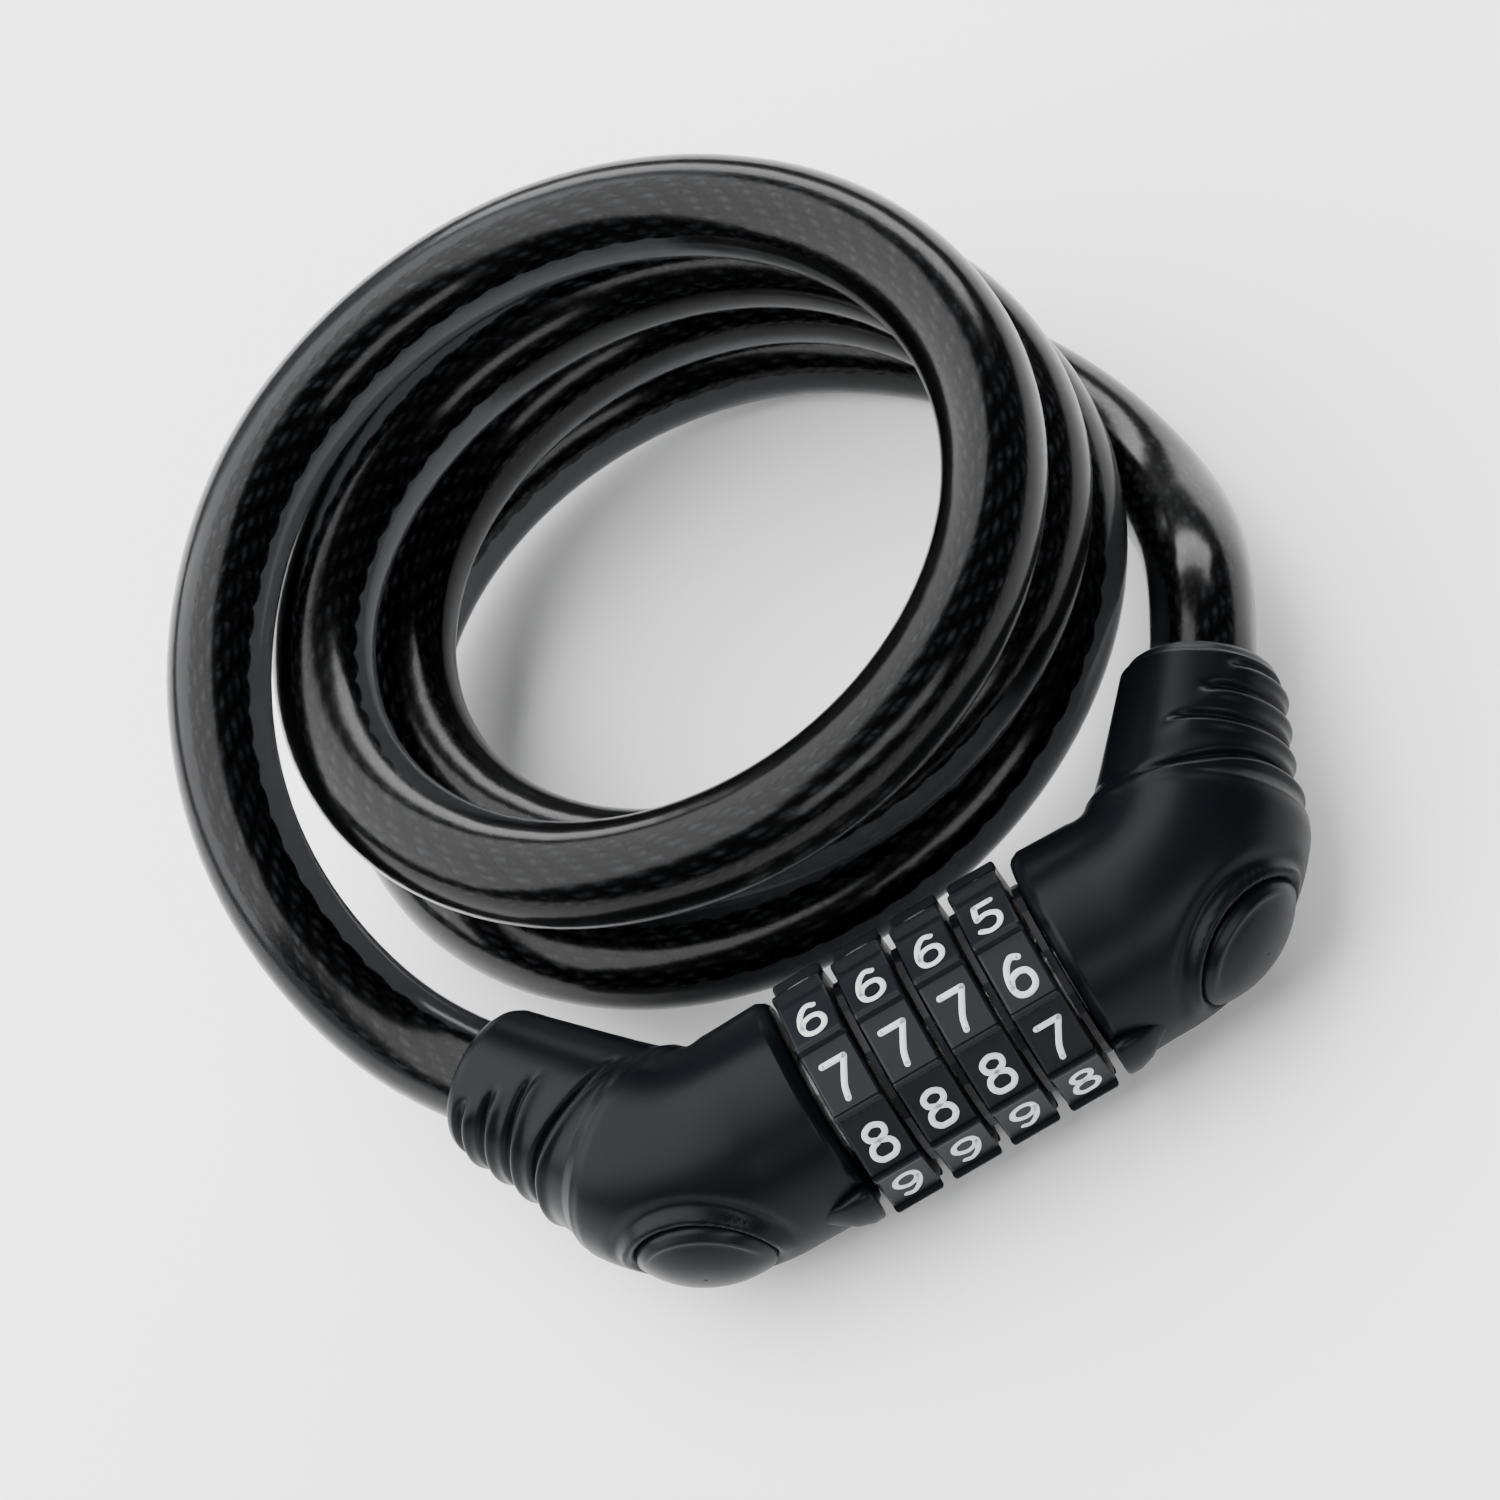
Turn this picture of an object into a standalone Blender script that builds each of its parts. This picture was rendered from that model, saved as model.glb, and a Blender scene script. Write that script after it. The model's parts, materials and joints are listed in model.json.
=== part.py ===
"""Four-dial combination cable lock: two elbow housings, four number rings on a slotted carrier,
a studded bolt that slides out of it, and a sheathed steel cable coiled between the housings."""
import math

import bmesh
import bpy
from mathutils import Matrix, Vector

MM = 0.001

# ---- driving dimensions, in millimetres -------------------------------------------------------
CABLE_D = 12.0                  # over the sheath
DIAL_COUNT = 4
DIAL_PITCH = 7.43               # along the lock's axis
DIAL_WIDTH = 6.04
DIAL_CORNERS_R = 14.6           # decagon, centre to corner
DIAL_BORE_R = 9.9
CODE_RING_R = 9.6
RECESS_R = 8.3                  # room for a bolt stud to pass round
CARRIER_R = 6.0
CARRIER_BORE_R = 4.2
BOLT_R = 3.9
STUD_TOP_R = 8.0
STUD_WIDTH = 2.0
NOTCH_WIDTH = 2.6
GAP = 0.3                       # between neighbouring solids
BODY_R = 13.0                   # housing, at the dials
BODY_OFFSET = 0.6               # housing centre behind the dial axis
RIM_LEFT = 15.0                 # housing rims, from the middle of the dials
RIM_RIGHT = 15.65
ELBOW_X = {-1: 31.0, 1: 31.4}   # where each sleeve's axis meets the dial axis, left and right
ELBOW_RADIUS = 14.0
SLEEVE_ANGLES = {-1: 56.5, 1: 61.0}  # degrees from the dial axis
SLEEVE_ENDS = {-1: 30.0, 1: 27.4}  # along each sleeve, from the elbow point
SLEEVE_BORE_R = 6.6
CABLE_START = 16.8              # where the cable stops inside the sleeve
FERRULE_START = 4.8
FERRULE_END = 16.4
PIN_R = 1.25
INLAY_LENGTH = 15.5
INLAY_HEIGHT = 12.5
INLAY_ANGLE = 26.0              # degrees from the front, towards the outside
LOCK_TILT = 7.0                 # degrees, sleeves raised
AXIS_HEIGHT = 14.45             # dial axis above the surface
AXIS_X = 1.16                   # middle of the dials, right of the origin
AXIS_Y = -7.37                  # dial axis, ahead of the origin

# Coil: one entry a turn, centre x, centre y and radius, measured from the dial axis.
COIL_TURNS = [(-5.0, 60.0, 48.0), (-1.0, 62.7, 42.0), (5.5, 67.0, 41.5), (0.0, 64.0, 43.5),
              (-8.5, 61.5, 64.0)]
COIL_FIRST = 0.06               # turns, counted clockwise from the left
COIL_LAST = 3.40
COIL_POINTS_PER_TURN = 14
COIL_TOP = 45.5                 # height of the highest turn's centre line
COIL_TOP_TURN = 0.27            # where the lead has climbed to it
COIL_CLIMB = 20.0               # how fast the lead climbs there, a turn squared
COIL_BOTTOM = 6.3
COIL_BOTTOM_TURN = 3.40         # where the coil has come down to it
COIL_DROP = 12.55               # a turn
# Leads between the sleeves and the coil: x, y from the dial axis, and height.
LEFT_LEAD = [(-50.3, 29.4, 18.2), (-53.4, 34.7, 20.7), (-55.8, 40.5, 24.6), (-57.5, 48.1, 30.2),
             (-57.4, 55.3, 35.3), (-55.6, 63.8, 39.8)]
RIGHT_LEAD = [(44.0, 83.5, 6.3), (47.7, 75.3, 6.3), (50.4, 66.3, 6.3), (51.8, 57.1, 7.5), (52.3, 47.0, 11.6),
              (51.4, 38.0, 15.9), (49.5, 31.0, 17.8)]
CABLE_POINTS = 80
SMOOTH_STEP = 2.5               # spacing and passes of the last smoothing, which evens out the bends
SMOOTH_PASSES = 12
STRAIGHT_STEPS = 5              # steps at each end that stay on the sleeve's axis

SIDES = 28                      # round shells
BORE_SIDES = 24

for old in list(bpy.data.objects):
    bpy.data.objects.remove(old, do_unlink=True)

parts = bpy.data.collections.new("cable_lock")
cutters = bpy.data.collections.new("cutters")
for group in (parts, cutters):
    bpy.context.scene.collection.children.link(group)


def material(name, color, roughness, metallic=0.0):
    mat = bpy.data.materials.new(name)
    mat.use_nodes = True
    shader = mat.node_tree.nodes["Principled BSDF"]
    shader.inputs["Base Color"].default_value = (*color, 1.0)
    shader.inputs["Roughness"].default_value = roughness
    shader.inputs["Metallic"].default_value = metallic
    return mat


HOUSING = material("housing_plastic", (0.014, 0.015, 0.018), 0.42)
RING = material("ring_plastic", (0.02, 0.022, 0.026), 0.35)
RUBBER = material("inlay_rubber", (0.012, 0.013, 0.015), 0.6)
STEEL = material("steel", (0.55, 0.55, 0.56), 0.3, 1.0)
ZINC = material("zinc", (0.42, 0.42, 0.43), 0.4, 1.0)
BRASS = material("brass", (0.62, 0.47, 0.22), 0.35, 1.0)
SHEATH = material("cable_sheath", (0.05, 0.052, 0.058), 0.15)

# The lock is built about its own dial axis (+X right, -Y the side with the index marks) and
# hangs on this empty, which sets it down with its sleeves a little raised.
lock_frame = bpy.data.objects.new("lock_frame", None)
lock_frame.location = (AXIS_X * MM, AXIS_Y * MM, AXIS_HEIGHT * MM)
lock_frame.rotation_euler = (math.radians(LOCK_TILT), 0.0, 0.0)
parts.objects.link(lock_frame)


def add_object(name, mesh, mat, in_lock=True):
    obj = bpy.data.objects.new(name, mesh)
    obj.data.materials.clear()
    obj.data.materials.append(mat)
    parts.objects.link(obj)
    if in_lock:
        obj.parent = lock_frame
    return obj


def smooth(obj, angle=35.0):
    obj.data.shade_smooth()
    obj.data.set_sharp_from_angle(angle=math.radians(angle))


def cut(target, tool_mesh, operation="DIFFERENCE"):
    """Boolean with a tool mesh, applied at once so that the next cut sees a clean mesh."""
    tool = bpy.data.objects.new("cutter", tool_mesh)
    cutters.objects.link(tool)
    tool.display_type = "WIRE"
    tool.hide_render = True
    modifier = target.modifiers.new("cut", "BOOLEAN")
    modifier.object = tool
    modifier.operation = operation
    parent, target.parent = target.parent, None
    bpy.context.view_layer.update()
    graph = bpy.context.evaluated_depsgraph_get()
    mesh = bpy.data.meshes.new_from_object(target.evaluated_get(graph))
    target.modifiers.clear()
    target.data = mesh
    target.parent = parent
    bpy.data.objects.remove(tool, do_unlink=True)


def to_mesh(name, bm):
    mesh = bpy.data.meshes.new(name)
    bm.to_mesh(mesh)
    bm.free()
    return mesh


def cylinder(start, end, radius, end_radius=None, sides=BORE_SIDES):
    """The mesh of a round bar or cone between two points."""
    start, end = Vector(start), Vector(end)
    bm = bmesh.new()
    bmesh.ops.create_cone(bm, cap_ends=True, segments=sides, radius1=radius * MM,
                          radius2=(radius if end_radius is None else end_radius) * MM,
                          depth=(end - start).length * MM)
    turn = (end - start).to_track_quat("Z", "Y").to_matrix().to_4x4()
    bm.transform(Matrix.Translation((start + end) / 2 * MM) @ turn)
    return to_mesh("cylinder", bm)


def box(low, high):
    low, high = Vector(low) * MM, Vector(high) * MM
    bm = bmesh.new()
    bmesh.ops.create_cube(bm, size=1.0)
    bm.transform(Matrix.Translation((low + high) / 2) @ Matrix.Diagonal((*(high - low), 1.0)))
    return to_mesh("box", bm)


def turned(name, profile, mat, sides=BORE_SIDES, x=0.0):
    """A ring or sleeve turned about the dial axis; the profile is a closed loop of (x, radius)."""
    bm = bmesh.new()
    loop = [bm.verts.new((px * MM, 0.0, radius * MM)) for px, radius in profile]
    for a, b in zip(loop, loop[1:] + loop[:1]):
        bm.edges.new((a, b))
    bmesh.ops.spin(bm, geom=list(bm.verts) + list(bm.edges), cent=(0, 0, 0), axis=(1, 0, 0),
                   angle=2 * math.pi, steps=sides, use_merge=True)
    bmesh.ops.remove_doubles(bm, verts=bm.verts, dist=1e-6)
    bmesh.ops.recalc_face_normals(bm, faces=bm.faces)
    bm.transform(Matrix.Translation((x * MM, 0, 0)))
    return add_object(name, to_mesh(name, bm), mat)


def side_point(side, along, across=0.0, up=0.0):
    """A point on a sleeve: distance along it from the elbow, across it towards the coil, and up."""
    a = math.radians(SLEEVE_ANGLES[side])
    x = ELBOW_X[side] + along * math.cos(a) - across * math.sin(a)
    y = along * math.sin(a) + across * math.cos(a)
    return Vector((side * x, y, up))


def bore(target, start, end, radius):
    cut(target, cylinder(start, end, radius))


# ---- housings ---------------------------------------------------------------------------------
# Radius of the housing along the sleeve, as (distance from the elbow point, radius).
SLEEVE_RADII = [(9.5, 12.2), (10.6, 11.4), (14.0, 10.8), (20.0, 9.9), (25.6, 9.1)]
SLEEVE_MOUTH = [(-1.4, 8.6), (-0.4, 8.1), (0.0, 7.3)]   # the same, counted from the sleeve's end


def housing_path(side, rim):
    """Centre line and radius of a housing, from its rim round the elbow to the cable."""
    stations = [((rim, BODY_OFFSET), BODY_R - 0.7), ((rim + 0.5, BODY_OFFSET), BODY_R),
                ((rim + 5.0, BODY_OFFSET), BODY_R)]
    steps = 8
    for i in range(steps + 1):
        a = math.radians(SLEEVE_ANGLES[side]) * i / steps
        blend = 1.0 - i / steps
        x = elbow_centre(side).x * side + ELBOW_RADIUS * math.sin(a)
        y = ELBOW_RADIUS * (1 - math.cos(a)) + BODY_OFFSET * blend
        stations.append(((x, y), BODY_R - 0.5 * (1 - blend)))
    for along, radius in SLEEVE_RADII + [(SLEEVE_ENDS[side] + back, r) for back, r in SLEEVE_MOUTH]:
        point = side_point(side, along)
        stations.append(((side * point.x, point.y), radius))
    return stations


def housing(name, side, rim):
    stations = housing_path(side, rim)
    curve = bpy.data.curves.new(name, "CURVE")
    curve.dimensions = "3D"
    curve.bevel_depth = MM
    curve.bevel_resolution = SIDES // 2 - 2
    curve.use_fill_caps = True
    curve.twist_mode = "Z_UP"
    spline = curve.splines.new("POLY")
    spline.points.add(len(stations) - 1)
    for point, ((x, y), radius) in zip(spline.points, stations):
        point.co = (side * x * MM, y * MM, 0.0, 1.0)
        point.radius = radius
    loose = bpy.data.objects.new(name + "_curve", curve)
    cutters.objects.link(loose)
    bpy.context.view_layer.update()
    mesh = bpy.data.meshes.new_from_object(loose.evaluated_get(bpy.context.evaluated_depsgraph_get()))
    bpy.data.objects.remove(loose, do_unlink=True)
    bm = bmesh.new()
    bm.from_mesh(mesh)
    bmesh.ops.remove_doubles(bm, verts=bm.verts, dist=1e-6)
    bmesh.ops.recalc_face_normals(bm, faces=bm.faces)
    shell = add_object(name, to_mesh(name, bm), HOUSING)
    # index pointer at the front of the rim
    pointer = cylinder((side * (rim + 0.4), -11.2, 0), (side * (rim + 6.5), -11.4, 0), 3.2, 0.5, 12)
    cut(shell, pointer, "UNION")
    # cable bore, ferrule chamber and the two pin holes, open underneath
    bore(shell, side_point(side, FERRULE_END + GAP), side_point(side, SLEEVE_ENDS[side] + 2), SLEEVE_BORE_R)
    bore(shell, side_point(side, FERRULE_START - GAP), side_point(side, FERRULE_END + 1), FERRULE_R + GAP)
    bore(shell, side_point(side, FERRULE_PIN, 0, -BODY_R - 1), side_point(side, FERRULE_PIN, 0, 8.8),
         PIN_R + GAP)
    bore(shell, (side * SHAFT_PIN_X, 0, -BODY_R - 1), (side * SHAFT_PIN_X, 0, 9.3), PIN_R + GAP)
    cut(shell, inlay_solid(side, INLAY_FLOOR, INLAY_FLOOR + 6.0, 0.0))
    return shell


def inlay_solid(side, low, high, shrink, bevel=0.0):
    """Oval plug on the outer corner of an elbow, between two distances from the elbow's centre."""
    bm = bmesh.new()
    bmesh.ops.create_cone(bm, cap_ends=True, segments=32, radius1=1.0, radius2=1.0,
                          depth=(high - low) * MM)
    bm.transform(Matrix.Translation((0, 0, (high + low) / 2 * MM))
                 @ Matrix.Diagonal(((INLAY_LENGTH / 2 - shrink) * MM, (INLAY_HEIGHT / 2 - shrink) * MM, 1, 1)))
    if bevel:
        top = [e for e in bm.edges if all(v.co.z > (high - 0.01) * MM for v in e.verts)]
        bmesh.ops.bevel(bm, geom=top, offset=bevel * MM, segments=2, profile=0.5, affect="EDGES")
    a = math.radians(INLAY_ANGLE)
    out = Vector((side * math.sin(a), -math.cos(a), 0))
    along = Vector((out.y, -out.x, 0))
    turn = Matrix((along, out.cross(along), out)).transposed().to_4x4()
    bm.transform(Matrix.Translation(elbow_centre(side) * MM) @ turn)
    return to_mesh("inlay", bm)


def elbow_centre(side):
    """The centre of the arc that a housing's path turns round."""
    tangent = ELBOW_RADIUS * math.tan(math.radians(SLEEVE_ANGLES[side] / 2))
    return Vector((side * (ELBOW_X[side] - tangent), ELBOW_RADIUS, 0))


FERRULE_R = 4.9
FERRULE_PIN = 10.6              # along the sleeve
SHAFT_PIN_X = 22.0              # pins that hold the carrier on the left and the bolt on the right
CARRIER_SEAT = 26.3             # depths of the housing bores, from the middle of the dials
STUD_WELL = 18.6
BOLT_SEAT = 27.3
INLAY_TOP = ELBOW_RADIUS + BODY_R + 0.5
INLAY_FLOOR = INLAY_TOP - 3.4

left_housing = housing("left_housing", -1, RIM_LEFT)
bore(left_housing, (-RIM_LEFT + 1, 0, 0), (-CARRIER_SEAT, 0, 0), CARRIER_R + GAP)
smooth(left_housing)
right_housing = housing("right_housing", 1, RIM_RIGHT)
bore(right_housing, (RIM_RIGHT - 1, 0, 0), (STUD_WELL, 0, 0), STUD_TOP_R + GAP)
bore(right_housing, (RIM_RIGHT - 1, 0, 0), (BOLT_SEAT, 0, 0), BOLT_R + GAP)
smooth(right_housing)

for side, word in ((-1, "left"), (1, "right")):
    plug = inlay_solid(side, INLAY_FLOOR + GAP, INLAY_TOP, GAP, bevel=0.5)
    smooth(add_object(word + "_inlay", plug, RUBBER))

    # crimped steel ferrule: a barrel with two crimp waists and a cross hole
    barrel = cylinder(side_point(side, FERRULE_START), side_point(side, FERRULE_END), FERRULE_R)
    ferrule = add_object(word + "_ferrule", barrel, STEEL)
    bore(ferrule, side_point(side, FERRULE_PIN, 0, -8), side_point(side, FERRULE_PIN, 0, 8), PIN_R + GAP)
    bore(ferrule, side_point(side, FERRULE_END - 3), side_point(side, FERRULE_END + 1), 3.2)
    smooth(ferrule)

    pin = cylinder(side_point(side, FERRULE_PIN, 0, -10.8), side_point(side, FERRULE_PIN, 0, 8.5), PIN_R,
                   sides=16)
    smooth(add_object(word + "_cable_pin", pin, STEEL))
    pin = cylinder((side * SHAFT_PIN_X, 0, -12.2), (side * SHAFT_PIN_X, 0, 9.0), PIN_R, sides=16)
    smooth(add_object("left_carrier_pin" if side < 0 else "right_bolt_pin", pin, STEEL))

# ---- carrier, spacers and detent spring -------------------------------------------------------
DIAL_X = [(i - (DIAL_COUNT - 1) / 2) * DIAL_PITCH for i in range(DIAL_COUNT)]
CARRIER_LEFT = -26.0
CARRIER_RIGHT = 18.0

carrier = add_object("dial_carrier", cylinder((CARRIER_LEFT, 0, 0), (CARRIER_RIGHT, 0, 0), CARRIER_R), ZINC)
bore(carrier, (-17.0, 0, 0), (CARRIER_RIGHT + 1, 0, 0), CARRIER_BORE_R)
cut(carrier, box((DIAL_X[0] - DIAL_WIDTH / 2, -NOTCH_WIDTH / 2, 1),
                 (CARRIER_RIGHT + 1, NOTCH_WIDTH / 2, CARRIER_R + 1)))
cut(carrier, box((-14.5, -2.0, -CARRIER_R - 1), (14.5, 2.0, -4.9)))
bore(carrier, (-SHAFT_PIN_X, 0, -8), (-SHAFT_PIN_X, 0, 8), PIN_R + GAP)
smooth(carrier)


def notch(ring, x, low, high):
    """The gap in a ring's bore that lets the bolt's studs through."""
    cut(ring, box((x + low - 1, -NOTCH_WIDTH / 2, 0), (x + high + 1, NOTCH_WIDTH / 2, RECESS_R)))


def washer(name, x, width, radius):
    half = width / 2
    profile = [(-half, CARRIER_R + GAP), (-half, radius), (half, radius), (half, CARRIER_R + GAP)]
    ring = turned(name, profile, STEEL, x=x)
    notch(ring, x, -half, half)
    smooth(ring)


for i in range(DIAL_COUNT - 1):
    washer(f"spacer_ring_{i + 1}", (DIAL_X[i] + DIAL_X[i + 1]) / 2, DIAL_PITCH - DIAL_WIDTH - 2 * GAP, 11.2)
washer("carrier_end_ring", (DIAL_X[-1] + DIAL_WIDTH / 2 + RIM_RIGHT) / 2, 0.8, 10.6)

# bowed leaf under the code rings, one crest to a dial
SPRING_LENGTH = 27.2
SPRING_THICK = 0.3
WAVE = 0.25
steps = 32
crest = [(-SPRING_LENGTH / 2 + SPRING_LENGTH * k / steps) for k in range(steps + 1)]
lower = [(x, -5.5 - WAVE * math.cos(2 * math.pi * x / DIAL_PITCH + math.pi)) for x in crest]
outline = lower + [(x, z + SPRING_THICK) for x, z in reversed(lower)]
bm = bmesh.new()
front = bm.faces.new([bm.verts.new((x * MM, -1.5 * MM, z * MM)) for x, z in outline])
extruded = bmesh.ops.extrude_face_region(bm, geom=[front])
far = [v for v in extruded["geom"] if isinstance(v, bmesh.types.BMVert)]
bmesh.ops.translate(bm, vec=(0, 3.0 * MM, 0), verts=far)
bmesh.ops.recalc_face_normals(bm, faces=bm.faces)
add_object("detent_spring", to_mesh("detent_spring", bm), STEEL)

# ---- number rings and code rings --------------------------------------------------------------
for i, x in enumerate(DIAL_X):
    half = DIAL_WIDTH / 2
    bm = bmesh.new()
    bmesh.ops.create_cone(bm, cap_ends=True, segments=10, radius1=DIAL_CORNERS_R * MM,
                          radius2=DIAL_CORNERS_R * MM, depth=DIAL_WIDTH * MM)
    # a flat face looks straight ahead (-Y)
    bm.transform(Matrix.Rotation(math.radians(90), 4, "Y") @ Matrix.Rotation(math.radians(-90), 4, "Z"))
    low = min(bm.verts, key=lambda v: v.co.y).co
    bm.transform(Matrix.Rotation(math.atan2(low.z, -low.y) + math.radians(18), 4, "X"))
    bm.transform(Matrix.Translation((x * MM, 0, 0)))
    number_ring = add_object(f"number_ring_{i + 1}", to_mesh("number_ring", bm), RING)
    bevel = number_ring.modifiers.new("edges", "BEVEL")
    bevel.width = 0.25 * MM
    bevel.segments = 1
    bevel.limit_method = "ANGLE"
    bore(number_ring, (x - half - 1, 0, 0), (x + half + 1, 0, 0), DIAL_BORE_R)
    smooth(number_ring, 30)

    inner = half - 0.1
    profile = [(-inner, RECESS_R), (-inner, CODE_RING_R), (inner, CODE_RING_R), (inner, CARRIER_R + GAP),
               (0.8, CARRIER_R + GAP), (0.8, RECESS_R)]
    code_ring = turned(f"code_ring_{i + 1}", profile, BRASS, x=x)
    notch(code_ring, x, 0.8, inner)
    smooth(code_ring)

# ---- locking bolt -----------------------------------------------------------------------------
bolt = add_object("locking_bolt", cylinder((-16.5, 0, 0), (27.0, 0, 0), BOLT_R), STEEL)
for x in DIAL_X:
    cut(bolt, box((x - 2.2, -STUD_WIDTH / 2, 1.0), (x - 0.6, STUD_WIDTH / 2, STUD_TOP_R)), "UNION")
bore(bolt, (SHAFT_PIN_X, 0, -8), (SHAFT_PIN_X, 0, 8), PIN_R + GAP)
smooth(bolt)


# ---- cable ------------------------------------------------------------------------------------
def in_row(point):
    """A point given in the lock's own frame, moved to where the lock stands."""
    turn = Matrix.Rotation(math.radians(LOCK_TILT), 3, "X")
    return turn @ point + Vector((AXIS_X, AXIS_Y, AXIS_HEIGHT))


def coil_point(turn):
    """The coil's centre line, from the turn count: circles that drift and change size turn by turn."""
    index = min(int(turn), len(COIL_TURNS) - 2)
    part = turn - index

    def value(k):
        around = [COIL_TURNS[min(max(index + j, 0), len(COIL_TURNS) - 1)][k] for j in (-1, 0, 1, 2)]
        return cubic(around, part)

    angle = math.pi - 2 * math.pi * turn
    drop = COIL_BOTTOM + COIL_DROP * max(0.0, COIL_BOTTOM_TURN - turn)
    rise = COIL_TOP - COIL_CLIMB * max(0.0, COIL_TOP_TURN - turn) ** 2
    return Vector((value(0) + value(2) * math.cos(angle), value(1) + value(2) * math.sin(angle) + AXIS_Y,
                   min(drop, rise)))


def cubic(p, t):
    """Catmull-Rom value between the middle two of four numbers or vectors."""
    return (p[1] * 2 + (p[2] - p[0]) * t + (p[0] * 2 - p[1] * 5 + p[2] * 4 - p[3]) * t ** 2
            + (p[1] * 3 - p[0] - p[2] * 3 + p[3]) * t ** 3) * 0.5


def cable_route():
    sleeve = (CABLE_START, 21.0, 25.0)
    route = [in_row(side_point(-1, s)) for s in sleeve + (SLEEVE_ENDS[-1] + 1.5,)]
    route += [Vector((x, y + AXIS_Y, z)) for x, y, z in LEFT_LEAD]
    count = round((COIL_LAST - COIL_FIRST) * COIL_POINTS_PER_TURN)
    route += [coil_point(COIL_FIRST + (COIL_LAST - COIL_FIRST) * k / count) for k in range(count + 1)]
    route += [Vector((x, y + AXIS_Y, z)) for x, y, z in RIGHT_LEAD]
    return route + [in_row(side_point(1, s)) for s in (SLEEVE_ENDS[1] + 1.5,) + sleeve[::-1]]


def even_points(route, count):
    """Points at even spacing along one smooth curve through the route."""
    dense = []
    for i in range(len(route) - 1):
        around = [route[max(i - 1, 0)], route[i], route[i + 1], route[min(i + 2, len(route) - 1)]]
        dense += [cubic(around, k / 20) for k in range(20)]
    dense.append(route[-1])
    dense = spaced(dense, round(length_of(dense) / SMOOTH_STEP))
    ends = STRAIGHT_STEPS + 1
    for _ in range(SMOOTH_PASSES):
        inner = [(a + b * 2 + c) / 4 for a, b, c in zip(dense, dense[1:], dense[2:])]
        dense = dense[:ends] + inner[ends - 1:1 - ends] + dense[-ends:]
    return spaced(dense, count)


def length_of(points):
    return sum((b - a).length for a, b in zip(points, points[1:]))


def spaced(points, count):
    """The same line with its points moved to even spacing."""
    travelled = [0.0]
    for a, b in zip(points, points[1:]):
        travelled.append(travelled[-1] + (b - a).length)
    moved = []
    j = 0
    for k in range(count):
        want = travelled[-1] * k / (count - 1)
        while j < len(points) - 2 and travelled[j + 1] < want:
            j += 1
        part = (want - travelled[j]) / (travelled[j + 1] - travelled[j])
        moved.append(points[j].lerp(points[j + 1], part))
    return moved


curve = bpy.data.curves.new("cable", "CURVE")
curve.dimensions = "3D"
curve.bevel_depth = CABLE_D / 2 * MM
curve.bevel_resolution = 3
curve.use_fill_caps = True
spline = curve.splines.new("POLY")
spline.points.add(CABLE_POINTS - 1)
for point, place in zip(spline.points, even_points(cable_route(), CABLE_POINTS)):
    point.co = (*(place * MM), 1.0)
curve.materials.append(SHEATH)
parts.objects.link(bpy.data.objects.new("cable", curve))
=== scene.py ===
"""Looks of the four-dial cable lock: smoky sheath over twisted wire, moulded housings with grooves
and inlays, number rings with stepped faces and painted digits, and a plain studio."""
import json
import math

import bpy
from mathutils import Matrix, Vector


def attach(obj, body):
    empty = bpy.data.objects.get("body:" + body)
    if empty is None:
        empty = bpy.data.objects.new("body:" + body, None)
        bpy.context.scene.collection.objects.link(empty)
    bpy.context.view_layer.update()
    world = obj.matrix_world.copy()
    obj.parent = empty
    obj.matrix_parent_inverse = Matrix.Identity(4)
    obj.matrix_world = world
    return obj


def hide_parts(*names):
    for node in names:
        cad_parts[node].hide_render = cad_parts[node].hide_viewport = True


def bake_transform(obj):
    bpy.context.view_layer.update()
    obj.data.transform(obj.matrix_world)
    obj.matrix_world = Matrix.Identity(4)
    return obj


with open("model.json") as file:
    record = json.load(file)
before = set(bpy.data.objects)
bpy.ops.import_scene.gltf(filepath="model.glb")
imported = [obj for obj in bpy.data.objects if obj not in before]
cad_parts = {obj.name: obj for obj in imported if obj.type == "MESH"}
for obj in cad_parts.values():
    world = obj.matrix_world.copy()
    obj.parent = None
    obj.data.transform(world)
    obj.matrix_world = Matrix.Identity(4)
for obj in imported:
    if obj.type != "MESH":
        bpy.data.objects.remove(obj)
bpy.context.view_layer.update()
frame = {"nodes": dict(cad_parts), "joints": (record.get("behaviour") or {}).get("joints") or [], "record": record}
nodes = frame["nodes"]

MM = 0.001

# ---- the lock's driving sizes, in millimetres, as in part.py ------------------------------------
DIAL_PITCH = 7.43
DIAL_WIDTH = 6.04
DIAL_CORNERS_R = 14.6
DIAL_BORE_R = 9.9
BODY_R = 13.0
BODY_OFFSET = 0.6
ELBOW_X = {-1: 31.0, 1: 31.4}       # left and right
ELBOW_RADIUS = 14.0
SLEEVE_ANGLES = {-1: math.radians(56.5), 1: math.radians(61.0)}
SLEEVE_ENDS = {-1: 30.0, 1: 27.4}
RIMS = {-1: 15.0, 1: 15.65}
BORES = {-1: 6.3, 1: 8.3}           # housing bores behind the rims
BORE_DEPTHS = {-1: 26.0, 1: 18.4}
SLEEVE_BORE_R = 6.6
CABLE_R = 6.0
PAD_LENGTH = 15.8
PAD_HEIGHT = 14.0
PAD_RISE = 1.3                      # of the dome's top over the elbow
PAD_SIDE_DEPTH = 14.0               # beyond this a point is on the pad's side of the body
PAD_SKIRT = 1.6                     # from the dome's edge down into the seat
PAD_RINGS = 26
PAD_SIDES = 72
INLAY_ANGLE = math.radians(26.0)
ELBOW_TANGENTS = {side: ELBOW_RADIUS * math.tan(SLEEVE_ANGLES[side] / 2) for side in (-1, 1)}

DIAL_POINTS = [Vector(j["pos_m"]) / MM for j in frame["joints"] if j["type"] == "hinge"]
axis_point = (DIAL_POINTS[0] + DIAL_POINTS[-1]) / 2
LOCK_TILT = math.radians(7.0)
IN_ROW = Matrix.Translation(axis_point * MM) @ Matrix.Rotation(LOCK_TILT, 4, "X")


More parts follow.
